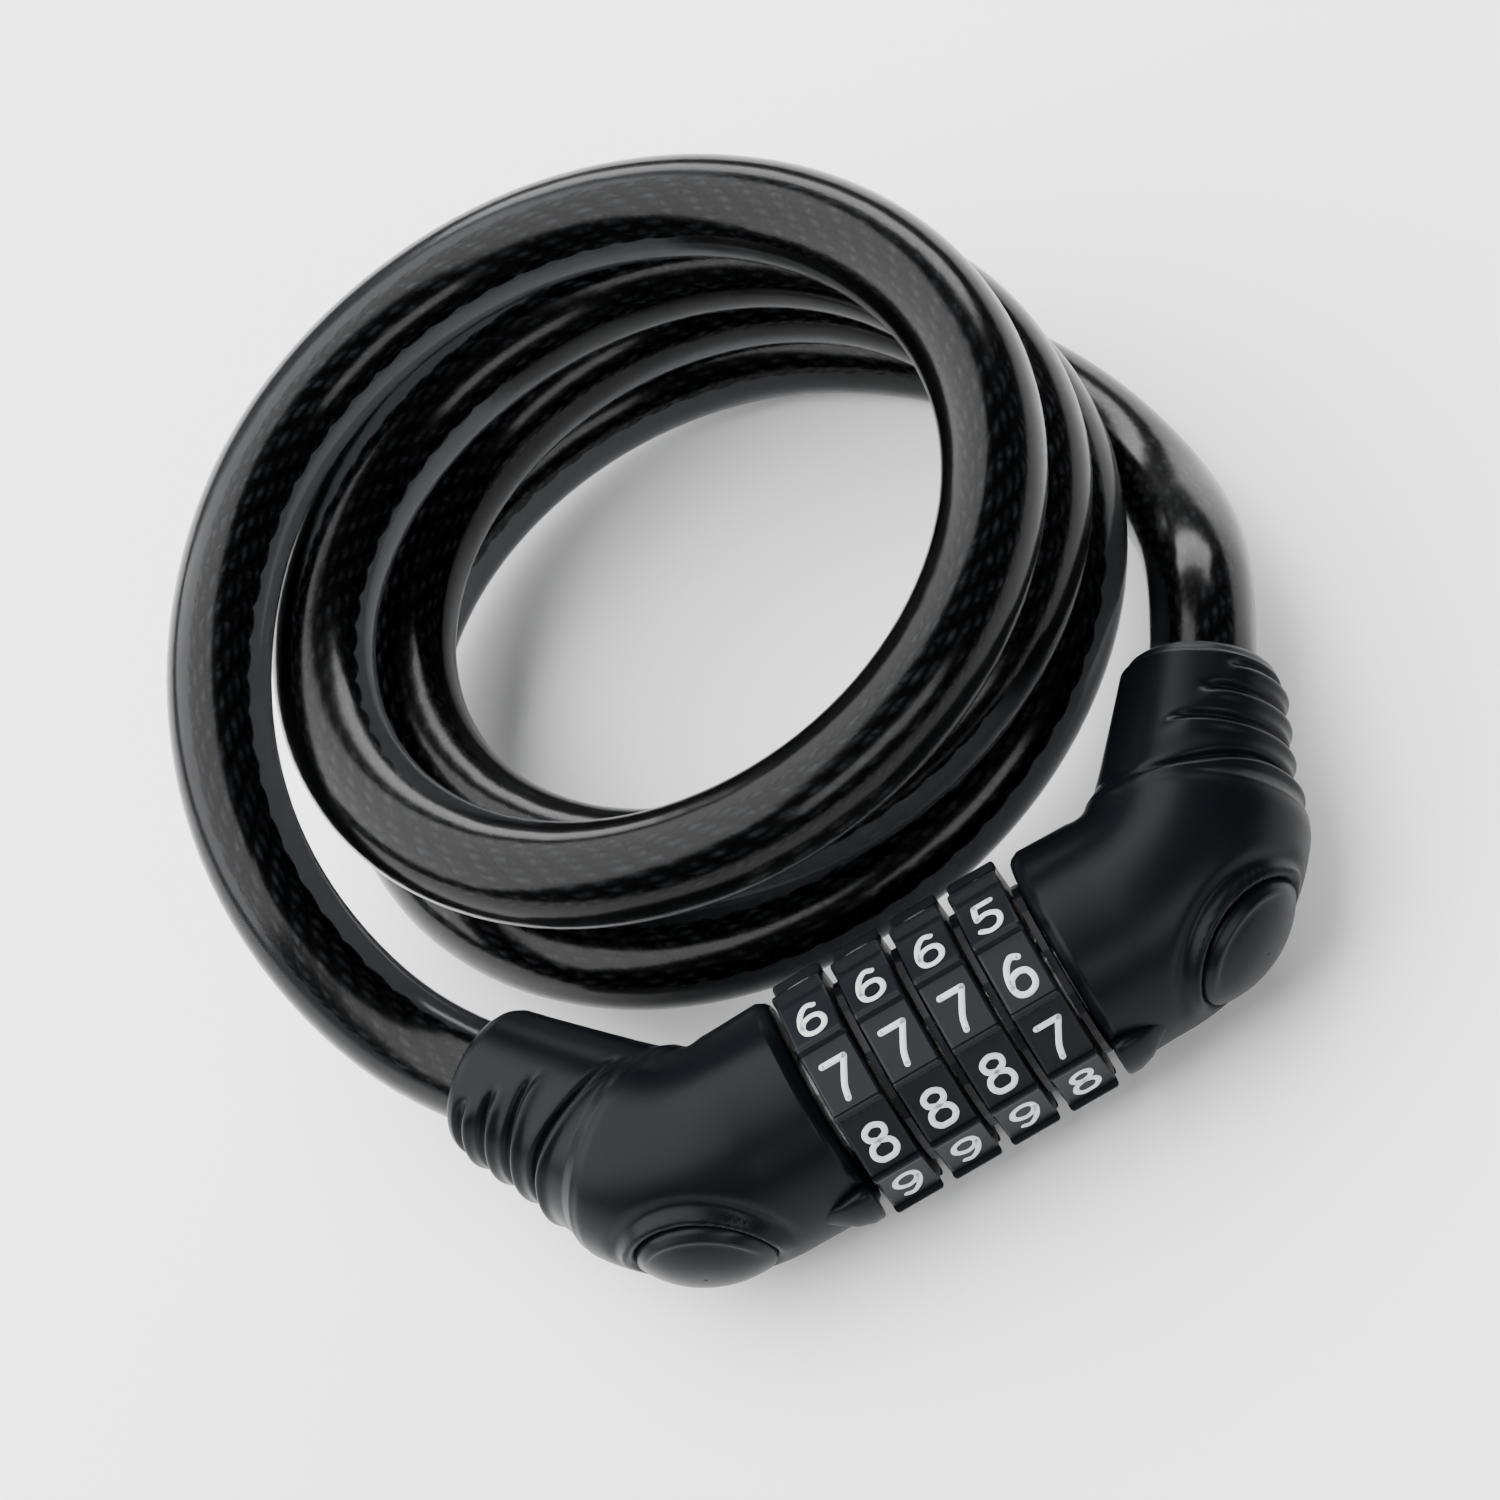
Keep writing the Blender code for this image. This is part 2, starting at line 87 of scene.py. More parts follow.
# ---- mesh helpers -------------------------------------------------------------------------------
def new_object(name, vertices, faces, material, matrix=None, smooth=True):
    """An object from points in millimetres."""
    mesh = bpy.data.meshes.new(name)
    mesh.from_pydata([tuple(Vector(v) * MM) for v in vertices], [], faces)
    mesh.validate()
    if matrix is not None:
        mesh.transform(matrix)
    mesh.polygons.foreach_set("use_smooth", [smooth] * len(mesh.polygons))
    mesh.materials.append(material)
    obj = bpy.data.objects.new(name, mesh)
    bpy.context.scene.collection.objects.link(obj)
    return obj


def tube_faces(rows, sides, ends=True):
    """Quads between rings of vertices, with one flat face over each end."""
    faces = []
    for i in range(rows - 1):
        a = i * sides
        for j in range(sides):
            k = (j + 1) % sides
            faces.append((a + j, a + k, a + sides + k, a + sides + j))
    if ends:
        faces.append(tuple(reversed(range(sides))))
        faces.append(tuple((rows - 1) * sides + j for j in range(sides)))
    return faces


def mirrored(faces, mirror):
    """The faces turned inside out where a mirrored side needs it."""
    return [tuple(reversed(face)) for face in faces] if mirror else faces


def hump(x, middle, width):
    """1 at the middle, falling to 0 like a bell on both sides."""
    return math.exp(-((x - middle) / width) ** 2)


def ramp(x, low, high):
    """0 below low, 1 above high, smooth between."""
    t = min(max((x - low) / (high - low), 0.0), 1.0)
    return t * t * (3 - 2 * t)


def table_value(table, x):
    """Value read off straight lines between a short list of (x, value)."""
    if x <= table[0][0]:
        return table[0][1]
    for (x0, y0), (x1, y1) in zip(table, table[1:]):
        if x <= x1:
            return y0 + (y1 - y0) * (x - x0) / (x1 - x0)
    return table[-1][1]


# ---- materials ----------------------------------------------------------------------------------
def node_material(name, **sockets):
    """A Principled material, with an underscore for each blank in a socket's name."""
    mat = bpy.data.materials.new(name)
    mat.use_nodes = True
    tree = mat.node_tree
    shader = tree.nodes["Principled BSDF"]
    for key, value in sockets.items():
        shader.inputs[key.replace("_", " ")].default_value = value
    return mat, tree, shader


def noise(tree, scale, detail, stretch=(1, 1, 1)):
    """Noise in the object's own coordinates, scale to the metre."""
    coords = tree.nodes.new("ShaderNodeTexCoord")
    mapping = tree.nodes.new("ShaderNodeMapping")
    mapping.inputs["Scale"].default_value = stretch
    texture = tree.nodes.new("ShaderNodeTexNoise")
    texture.inputs["Scale"].default_value = scale
    texture.inputs["Detail"].default_value = detail
    tree.links.new(coords.outputs["Object"], mapping.inputs["Vector"])
    tree.links.new(mapping.outputs["Vector"], texture.inputs["Vector"])
    return texture.outputs["Fac"]


def bump(tree, shader, height, strength, distance):
    node = tree.nodes.new("ShaderNodeBump")
    node.inputs["Strength"].default_value = strength
    node.inputs["Distance"].default_value = distance
    tree.links.new(height, node.inputs["Height"])
    tree.links.new(node.outputs["Normal"], shader.inputs["Normal"])


def drive(tree, source, target, low, high):
    """Feeds a 0..1 value to a socket, remapped to a range."""
    node = tree.nodes.new("ShaderNodeMapRange")
    node.inputs["To Min"].default_value = low
    node.inputs["To Max"].default_value = high
    tree.links.new(source, node.inputs["Value"])
    tree.links.new(node.outputs["Result"], target)


def colour_by(tree, source, target, dark, light):
    """Feeds a colour between two to a socket, by a 0..1 value."""
    node = tree.nodes.new("ShaderNodeMix")
    node.data_type = "RGBA"
    node.inputs["A"].default_value = (*dark, 1)
    node.inputs["B"].default_value = (*light, 1)
    tree.links.new(source, node.inputs["Factor"])
    tree.links.new(node.outputs["Result"], target)


GRAIN_DEPTH = 0.00002


def moulded(name, dark, light, roughness, gloss, grain=4200):
    """Satin moulded plastic: fine spark-eroded grain, and handling marks that vary the gloss."""
    mat, tree, shader = node_material(name, Specular_IOR_Level=gloss)
    colour_by(tree, noise(tree, 60, 4), shader.inputs["Base Color"], dark, light)
    drive(tree, noise(tree, 140, 5), shader.inputs["Roughness"], roughness - 0.06, roughness + 0.08)
    bump(tree, shader, noise(tree, grain, 2), 0.25, GRAIN_DEPTH)
    return mat


def machined(name, dark, light, roughness, stretch=(1, 12, 12)):
    """Metal with fine turning lines, which run across X unless stretched otherwise."""
    mat, tree, shader = node_material(name, Metallic=1.0)
    colour_by(tree, noise(tree, 300, 3), shader.inputs["Base Color"], dark, light)
    drive(tree, noise(tree, 500, 4, stretch), shader.inputs["Roughness"], roughness - 0.08, roughness + 0.12)
    bump(tree, shader, noise(tree, 700, 2, stretch), 0.15, 0.00003)
    return mat


HOUSING = moulded("housing_plastic_look", (0.0016, 0.0020, 0.0030), (0.0032, 0.0038, 0.0052), 0.34, 0.08)
DIAL = moulded("dial_plastic_look", (0.003, 0.0035, 0.005), (0.0055, 0.0065, 0.0085), 0.36, 0.14)
PAD = moulded("pad_rubber_look", (0.0018, 0.0022, 0.0032), (0.0034, 0.0040, 0.0054), 0.32, 0.11, 3000)
PAINT = moulded("digit_paint_look", (0.50, 0.51, 0.53), (0.60, 0.61, 0.63), 0.6, 0.2, 2500)
STEEL = machined("steel_look", (0.42, 0.42, 0.43), (0.58, 0.58, 0.59), 0.30)
ZINC = machined("zinc_look", (0.30, 0.30, 0.31), (0.42, 0.42, 0.43), 0.45, (1, 1, 1))
BRASS = machined("brass_look", (0.50, 0.36, 0.16), (0.66, 0.50, 0.25), 0.32)

SHEATH, sheath_tree, sheath_shader = node_material(
    "sheath_vinyl_look", Base_Color=(0.0125, 0.0129, 0.0140, 1), IOR=1.23)
sheath_shader.inputs["Transmission Weight"].default_value = 1.0
drive(sheath_tree, noise(sheath_tree, 45, 3), sheath_shader.inputs["Roughness"], 0.12, 0.24)
bump(sheath_tree, sheath_shader, noise(sheath_tree, 90, 2), 0.35, 0.0004)

# Strands of worn bright wire, with painted shade in the valleys between strands and between wires: the UV has one
# unit a strand across them.
# painted shade: the colour of the valleys between strands and between wires
VALLEY_SHADE = (0.03, 0.032, 0.038)
BRIGHT_WIRE = (0.85, 0.88, 0.95)
WIRES_A_STRAND = 6
WIRE, wire_tree, wire_shader = node_material("wire_look", Metallic=0.55, Roughness=0.42)
lay = wire_tree.nodes.new("ShaderNodeUVMap")
lay.uv_map = "lay"


def waves(lines, direction):
    """Smooth lines over the UV, dark at whole units across when there is one line a unit; the dark is painted
    shade in the valleys.
    """
    texture = wire_tree.nodes.new("ShaderNodeTexWave")
    texture.bands_direction = direction
    texture.inputs["Scale"].default_value = math.pi / 10 * lines
    wire_tree.links.new(lay.outputs["UV"], texture.inputs["Vector"])
    return texture.outputs["Fac"]


def times(a, b):
    """The product of two values."""
    node = wire_tree.nodes.new("ShaderNodeMath")
    node.operation = "MULTIPLY"
    wire_tree.links.new(a, node.inputs[0])
    wire_tree.links.new(b, node.inputs[1])
    return node.outputs["Value"]


wear = wire_tree.nodes.new("ShaderNodeTexNoise")
wear.inputs["Scale"].default_value = 2.0
wear.inputs["Detail"].default_value = 3.0
wear_range = wire_tree.nodes.new("ShaderNodeMapRange")
wear_range.inputs["From Min"].default_value = 0.34
wear_range.inputs["From Max"].default_value = 0.62
wire_tree.links.new(lay.outputs["UV"], wear.inputs["Vector"])
wire_tree.links.new(wear.outputs["Fac"], wear_range.inputs["Value"])
wire_lines = waves(WIRES_A_STRAND, "DIAGONAL")
# painted shade in the valleys between strands and wires, times the random wear of the wire
valley_shade_and_wear = times(times(waves(1, "X"), wire_lines), wear_range.outputs["Result"])
colour_by(wire_tree, valley_shade_and_wear, wire_shader.inputs["Base Color"], VALLEY_SHADE, BRIGHT_WIRE)
bump(wire_tree, wire_shader, wire_lines, 0.4, 0.0003)

# The spacer rings (black_steel) take the dark dial plastic in place of steel: painted shade for the dark gaps
# between the dials.
LOOKS = {"housing_plastic": HOUSING, "ring_plastic": DIAL, "inlay_rubber": PAD, "steel": STEEL,
         "black_steel": DIAL, "zinc": ZINC, "brass": BRASS, "cable_sheath": SHEATH}
for entry in frame["record"]["subparts"]:
    mesh = nodes[entry["node"]].data
    mesh.materials.clear()
    mesh.materials.append(LOOKS[entry["material_slot"]])


# ---- cable --------------------------------------------------------------------------------------
CABLE_START = 16.8                  # along a sleeve, from the elbow point
SLEEVE_STOPS = (CABLE_START, 21.0, 25.0)
PAST_SLEEVE = 1.5                   # where the cable is still straight
# x, y and radius of the coil's circle at each whole turn, from the top
COIL_TURNS = [(-5.0, 60.0, 48.0), (-1.0, 62.7, 42.0), (5.5, 67.0, 41.5), (0.0, 64.0, 43.5),
              (-8.5, 61.5, 64.0)]
COIL_FIRST = 0.06
COIL_LAST = 3.40
COIL_POINTS_PER_TURN = 14
COIL_TOP = 45.5
COIL_TOP_TURN = 0.27
COIL_CLIMB = 20.0
COIL_BOTTOM = 6.3
COIL_BOTTOM_TURN = 3.40
COIL_DROP = 12.55
LEFT_LEAD = [(-50.3, 29.4, 18.2), (-53.4, 34.7, 20.7), (-55.8, 40.5, 24.6), (-57.5, 48.1, 30.2),
             (-57.4, 55.3, 35.3), (-55.6, 63.8, 39.8)]
RIGHT_LEAD = [(44.0, 83.5, 6.3), (47.7, 75.3, 6.3), (50.4, 66.3, 6.3), (51.8, 57.1, 7.5), (52.3, 47.0, 11.6),
              (51.4, 38.0, 15.9), (49.5, 31.0, 17.8)]
CUBIC_STEPS = 20
SMOOTH_STEP = 2.5
SMOOTH_PASSES = 12
STRAIGHT_STEPS = 5                  # left unsmoothed at each end, inside the sleeves


def side_point(side, along):
    """A point on a sleeve's axis, in the row frame."""
    angle = SLEEVE_ANGLES[side]
    x = side * (ELBOW_X[side] + along * math.cos(angle))
    return (IN_ROW @ Vector((x * MM, along * math.sin(angle) * MM, 0))) / MM


def cubic(p, t):
    """Catmull-Rom value between the middle two of four numbers or vectors."""
    return (p[1] * 2 + (p[2] - p[0]) * t + (p[0] * 2 - p[1] * 5 + p[2] * 4 - p[3]) * t ** 2
            + (p[1] * 3 - p[0] - p[2] * 3 + p[3]) * t ** 3) * 0.5


def coil_point(turn):
    """The coil's centre line, from the turn count: circles that drift and change size turn by turn."""
    index = min(int(turn), len(COIL_TURNS) - 2)
    around = [COIL_TURNS[min(max(index + j, 0), len(COIL_TURNS) - 1)] for j in (-1, 0, 1, 2)]
    x, y, radius = (cubic([entry[k] for entry in around], turn - index) for k in range(3))
    angle = math.pi - 2 * math.pi * turn
    drop = COIL_BOTTOM + COIL_DROP * max(0.0, COIL_BOTTOM_TURN - turn)
    rise = COIL_TOP - COIL_CLIMB * max(0.0, COIL_TOP_TURN - turn) ** 2
    return Vector((x + radius * math.cos(angle), y + radius * math.sin(angle) + axis_point.y,
                   min(drop, rise)))


def spaced(points, count):
    """The same line with its points moved to even spacing."""
    travelled = [0.0]
    for a, b in zip(points, points[1:]):
        travelled.append(travelled[-1] + (b - a).length)
    moved = []
    j = 0
    for k in range(count):
        want = travelled[-1] * k / (count - 1)
        while j < len(points) - 2 and travelled[j + 1] < want:
            j += 1
        part = (want - travelled[j]) / (travelled[j + 1] - travelled[j])
        moved.append(points[j].lerp(points[j + 1], part))
    return moved


def length_of(points):
    """Length of a line of points."""
    return sum((b - a).length for a, b in zip(points, points[1:]))


def cable_route():
    """The cable's centre line: left sleeve, left lead, coil, right lead, right sleeve."""
    route = [side_point(-1, s) for s in SLEEVE_STOPS + (SLEEVE_ENDS[-1] + PAST_SLEEVE,)]
    route += [Vector((x, y + axis_point.y, z)) for x, y, z in LEFT_LEAD]
    count = round((COIL_LAST - COIL_FIRST) * COIL_POINTS_PER_TURN)
    route += [coil_point(COIL_FIRST + (COIL_LAST - COIL_FIRST) * k / count) for k in range(count + 1)]
    route += [Vector((x, y + axis_point.y, z)) for x, y, z in RIGHT_LEAD]
    route += [side_point(1, s) for s in (SLEEVE_ENDS[1] + PAST_SLEEVE,) + SLEEVE_STOPS[::-1]]
    dense = []
    for i in range(len(route) - 1):
        around = [route[max(i - 1, 0)], route[i], route[i + 1], route[min(i + 2, len(route) - 1)]]
        dense += [cubic(around, k / CUBIC_STEPS) for k in range(CUBIC_STEPS)]
    dense.append(route[-1])
    dense = spaced(dense, round(length_of(dense) / SMOOTH_STEP))
    ends = STRAIGHT_STEPS + 1
    for _ in range(SMOOTH_PASSES):
        inner = [(a + b * 2 + c) / 4 for a, b, c in zip(dense, dense[1:], dense[2:])]
        dense = dense[:ends] + inner[ends - 1:1 - ends] + dense[-ends:]
    return dense


def sweep(name, path, sides, section, material, twist=0.0):
    """A closed tube along a path. section(column) gives its radius, and its columns turn by twist."""
    vertices = []
    normal = None
    distance = 0.0
    for i, point in enumerate(path):
        tangent = (path[min(i + 1, len(path) - 1)] - path[max(i - 1, 0)]).normalized()
        if normal is None:
            normal = tangent.orthogonal()
        normal = (normal - tangent * normal.dot(tangent)).normalized()
        side = tangent.cross(normal)
        if i:
            distance += (point - path[i - 1]).length
        for j in range(sides):
            angle = 2 * math.pi * j / sides + twist * distance
            radius = section(j)
            vertices.append(point + (normal * math.cos(angle) + side * math.sin(angle)) * radius)
    return new_object(name, vertices, tube_faces(len(path), sides), material)


CORE_R = 2.85
STRANDS = 6
STRAND_SIDES = 12                   # columns of the mesh to a strand
STRAND_DEPTH = 0.75
STRAND_ROUNDNESS = 0.7              # the lower, the flatter the strands' tops
LAY_LENGTH = 26.0                   # along the cable for one turn of a strand
WEAR_LENGTH = 4.0                   # along the cable for one unit of the strands' UV


def wire_uv(obj, sides, path):
    """UV with one unit a strand across the strands, and one unit every few millimetres along them."""
    layer = obj.data.uv_layers.new(name="lay")
    row_step = length_of(path) / len(path) / WEAR_LENGTH
    for polygon in obj.data.polygons:
        corners = [divmod(obj.data.loops[loop].vertex_index, sides) for loop in polygon.loop_indices]
        columns = [column for _, column in corners]
        wraps = max(columns) - min(columns) > 1
        for loop, (row, column) in zip(polygon.loop_indices, corners):
            column = sides if wraps and column == 0 else column
            layer.data[loop].uv = (column / STRAND_SIDES, row * row_step)


def rope_radius(column):
    """Round strands side by side."""
    phase = math.pi * column / STRAND_SIDES
    return CORE_R - STRAND_DEPTH * (1 - abs(math.sin(phase)) ** STRAND_ROUNDNESS)


SHEATH_ROWS, SHEATH_SIDES = 440, 28
CORE_ROWS, CORE_SIDES = 900, STRANDS * STRAND_SIDES
route = cable_route()
sheath_path = spaced(route, SHEATH_ROWS)
core_path = spaced(route, CORE_ROWS)
sheath = sweep("cable_sheath", sheath_path, SHEATH_SIDES, lambda column: CABLE_R, SHEATH)
core = sweep("cable_core", core_path, CORE_SIDES, rope_radius, WIRE, 2 * math.pi / LAY_LENGTH)
wire_uv(core, CORE_SIDES, core_path)
for piece in (sheath, core):
    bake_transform(piece)
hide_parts("cable")


# ---- housings -----------------------------------------------------------------------------------
# distance along the sleeve and radius
SLEEVE_RADII = [(9.0, 12.25), (10.6, 11.4), (14.0, 10.8), (20.0, 9.9), (25.6, 9.1)]
SLEEVE_MOUTH = [(-1.6, 8.75), (-0.7, 8.35), (-0.2, 7.8), (0.0, 7.2)]    # counted from the sleeve's end
GROOVES = [(-2.6, 1.05), (-6.2, 1.35), (-10.2, 1.7)]    # distance from the end, angle of the hooked tip
SWOOSH = -14.4                      # distance of the swoosh from the sleeve's end
GROOVE_DEPTH = 0.95
GROOVE_WIDTH = 0.55
RIDGE_HEIGHT = 0.5
RIDGE_WIDTH = 0.8
RIDGE_GAP = 1.15                    # from a groove's line to its lip
BODY_RAISE = 0.45                   # of the body over the sleeve, at the swoosh
HOUSING_SIDES = 144
HOUSING_STEPS = 190
EDGE_LENGTH = 1.4                   # of the rim's rounded edge
SLEEVE_START = 9.0                  # along the sleeve, where the body's radius ends
MOUTH_DEPTH = 9.0                   # of the sleeve's hollow that shows beside the cable
CENTRE_HOLE = 0.3                   # radius left open where a bore's floor closes


def path_point(side, rim, s):
    """Centre and direction of a housing's path, at a distance from its rim."""
    angle = SLEEVE_ANGLES[side]
    straight = ELBOW_X[side] - ELBOW_TANGENTS[side] - rim
    arc = ELBOW_RADIUS * angle
    a = min(max((s - straight) / arc, 0.0), 1.0) * angle
    offset = BODY_OFFSET * (1 - a / angle)
    x = ELBOW_X[side] - ELBOW_TANGENTS[side] + ELBOW_RADIUS * math.sin(a)
    y = ELBOW_RADIUS * (1 - math.cos(a)) + offset
    extra = min(s - straight, 0.0) + max(s - straight - arc, 0.0)
    x += extra * math.cos(a)
    y += extra * math.sin(a)
    return Vector((side * x, y, 0)), Vector((side * math.cos(a), math.sin(a), 0))


def along_sleeve(side, s):
    """Distance along the sleeve from the elbow point, at a distance from the rim."""
    tangent = ELBOW_TANGENTS[side]
    return s - (ELBOW_X[side] - tangent - RIMS[side]) - ELBOW_RADIUS * SLEEVE_ANGLES[side] + tangent


def groove_shape(gap):
    """Depth of a groove, with a raised lip on its body side; gap is the distance from its line."""
    return -GROOVE_DEPTH * hump(gap, 0, GROOVE_WIDTH) + RIDGE_HEIGHT * hump(gap, -RIDGE_GAP, RIDGE_WIDTH)


def relief(along, phi, end):
    """Height of the sleeve's moulding; phi is 0 on the outer side and a quarter turn at the top."""
    height = 0.0
    under = ramp(phi, -1.9, -1.4)
    for place, tip in GROOVES:
        # each groove runs round the outer side and hooks toward the body at its upper tip
        hook = 2.2 * max(0.0, phi - tip + 0.5) ** 2
        height += groove_shape(along - (end + place - hook)) * ramp(tip - phi, 0.0, 0.35) * under
    # the long swoosh that marks the start of the body
    line = end + SWOOSH - 3.2 * ramp(phi, 0.5, 2.1) - 2.6 * ramp(phi, 1.7, 3.0)
    over = ramp(2.3 - phi, 0.0, 0.9)
    height += groove_shape(along - line) * over * under * 1.15
    height += BODY_RAISE * (1 - ramp(along, line - 1.6, line - 0.2)) * ramp(phi, -2.0, -1.2) * over
    return height


def pad_frame(side):
    """Centre line of an inlay: origin, outward direction and the two directions across it."""
    out = Vector((side * math.sin(INLAY_ANGLE), -math.cos(INLAY_ANGLE), 0))
    across = Vector((-out.y * side, out.x * side, 0))
    centre = Vector((side * (ELBOW_X[side] - ELBOW_TANGENTS[side]), ELBOW_RADIUS, 0))
    return centre, out, across


def pad_place(side, point):
    """Where a point lies over the pad's oval: 1 on its edge, with its height and its depth outward."""
    centre, out, across = pad_frame(side)
    local = point - centre
    u, v = local.dot(across) / (PAD_LENGTH / 2), local.z / (PAD_HEIGHT / 2)
    return math.hypot(u, v), v, local.dot(out)


def housing(name, side):
    """Bore, rim, body, elbow and sleeve of one housing as one sweep, with its moulded relief."""
    rim = RIMS[side]
    end = SLEEVE_ENDS[side]
    radii = SLEEVE_RADII + [(end + back, radius) for back, radius in SLEEVE_MOUTH]
    total = end - along_sleeve(side, 0.0)
    floor = BORE_DEPTHS[side] - rim
    inner = [(floor, CENTRE_HOLE), (floor, BORES[side]), (0.5, BORES[side])]
    edge = [(0.0, BORES[side] + 0.5), (0.0, BODY_R - 1.3), (0.12, BODY_R - 0.75), (0.45, BODY_R - 0.35),
            (0.95, BODY_R - 0.1)]
    outer = []
    for i in range(HOUSING_STEPS + 1):
        s = EDGE_LENGTH + (total - EDGE_LENGTH) * i / HOUSING_STEPS
        along = along_sleeve(side, s)
        body = BODY_R - 0.5 * ramp(along, -6.0, SLEEVE_START)
        if along > SLEEVE_START:
            radius = table_value(radii, along)
        else:
            radius = body - 0.25 * ramp(along, SLEEVE_START - 1.5, SLEEVE_START)
        outer.append((s, radius + 0.15 * (1 - ramp(s, 0, 8))))
    mouth = [(total, SLEEVE_BORE_R + 0.15), (total - 0.25, SLEEVE_BORE_R - 0.25),
             (total - MOUTH_DEPTH, SLEEVE_BORE_R - 0.3), (total - MOUTH_DEPTH, CENTRE_HOLE)]
    stations = [(s, radius, False) for s, radius in inner + edge]
    stations += [(s, radius, True) for s, radius in outer]
    stations += [(s, radius, False) for s, radius in mouth]
    vertices = []
    for s, radius, relieved in stations:
        centre, direction = path_point(side, rim, s)
        outward = Vector((side * abs(direction.y), -abs(direction.x), 0))
        along = along_sleeve(side, s)
        for j in range(HOUSING_SIDES):
            phi = 2 * math.pi * j / HOUSING_SIDES
            if phi > math.pi:
                phi -= 2 * math.pi
            height = relief(along, phi, end) * ramp(end - along, 0.3, 1.6) if relieved else 0.0
            ray = outward * math.cos(phi) + Vector((0, 0, math.sin(phi)))
            point = centre + ray * (radius + height)
            if relieved:
                reach, v, depth = pad_place(side, point)
                if depth > PAD_SIDE_DEPTH:
                    point += ray * pad_relief(reach, v)
            vertices.append(point)
    faces = mirrored(tube_faces(len(stations), HOUSING_SIDES), side < 0)
    return new_object(name, vertices, faces, HOUSING, IN_ROW)


def pad_relief(reach, v):
    """The pad's seat: sunk inside the oval, with a raised brow and a valley over its upper edge."""
    seat = -1.1 * (1 - ramp(reach, 0.98, 1.05))
    brow = 0.95 * hump(reach, 1.13, 0.07) * ramp(v, -0.45, 0.5)
    valley = -0.5 * hump(reach, 1.32, 0.09) * ramp(v, -0.2, 0.7)
    return seat + brow + valley


def inlay(name, side):
    """The strongly domed oval pad, with a thin raised edge along its top."""
    centre, out, across = pad_frame(side)
    top = ELBOW_RADIUS + BODY_R + PAD_RISE
    vertices = []
    for i in range(PAD_RINGS + 1):
        reach = i / PAD_RINGS
        for j in range(PAD_SIDES):
            angle = 2 * math.pi * j / PAD_SIDES
            u, v = reach * math.cos(angle), reach * math.sin(angle)
            dome = top - 2.5 * reach ** 2.4 - 0.4 * v ** 2
            lip = 0.45 * hump(reach, 0.90, 0.045) * ramp(v, 0.0, 0.6)
            vertices.append(centre + across * u * PAD_LENGTH / 2 + out * (dome + lip)
                            + Vector((0, 0, v * PAD_HEIGHT / 2)))
    vertices += [point - out * PAD_SKIRT for point in vertices[-PAD_SIDES:]]
    faces = mirrored(tube_faces(PAD_RINGS + 2, PAD_SIDES), side > 0)
    return new_object(name, vertices, faces, PAD, IN_ROW)


# distance behind the rim and half width
LUG_PROFILE = [(0.1, 2.7), (0.4, 3.3), (1.6, 3.4), (3.4, 2.7), (5.2, 1.7), (6.6, 0.7), (7.2, 0.15)]
LUG_HEIGHT = 2.5
LUG_SUNK = 0.9                      # of the lug inside the body
LUG_SIDES = 20


def index_lug(name, side):
    """The pointed lug at the front of a rim that marks the row to read."""
    rim = RIMS[side]
    base = BODY_OFFSET - BODY_R + LUG_SUNK
    vertices = []
    for s, half in LUG_PROFILE:
        tip = LUG_HEIGHT * (1 - ramp(s, 2.0, 7.6)) + LUG_SUNK
        for j in range(LUG_SIDES):
            angle = 2 * math.pi * j / LUG_SIDES
            z = half * math.cos(angle)
            y = base - tip * (0.5 + 0.5 * math.sin(angle)) ** 0.7
            vertices.append(Vector((side * (rim + s), y, z)))
    faces = mirrored(tube_faces(len(LUG_PROFILE), LUG_SIDES), side > 0)
    return new_object(name, vertices, faces, HOUSING, IN_ROW)


for side, word, body in ((-1, "left", "lock_body"), (1, "right", "bolt_body")):
    shell = housing(f"{word}_housing_shell", side)
    lug = index_lug(f"{word}_index_lug", side)
    pad = inlay(f"{word}_inlay_pad", side)
    for piece in (shell, lug, pad):
        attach(piece, body)
    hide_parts(f"{word}_housing")
    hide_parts(f"{word}_inlay")


# ---- number rings -------------------------------------------------------------------------------
FACE_LIFT = -0.80                   # the faces lie below the decagon; each ends in a proud edge
DIGIT_HEIGHT = 4.4
DIGIT_RISE = -0.95                  # of a digit's middle over its face's middle
DIGIT_WIDTH = 2.75
STROKE = 0.36                       # half the painted line's width
FACE_COUNT = 10
FRONT_DIGITS = (9, 9, 9, 8)         # the digits between the index lugs

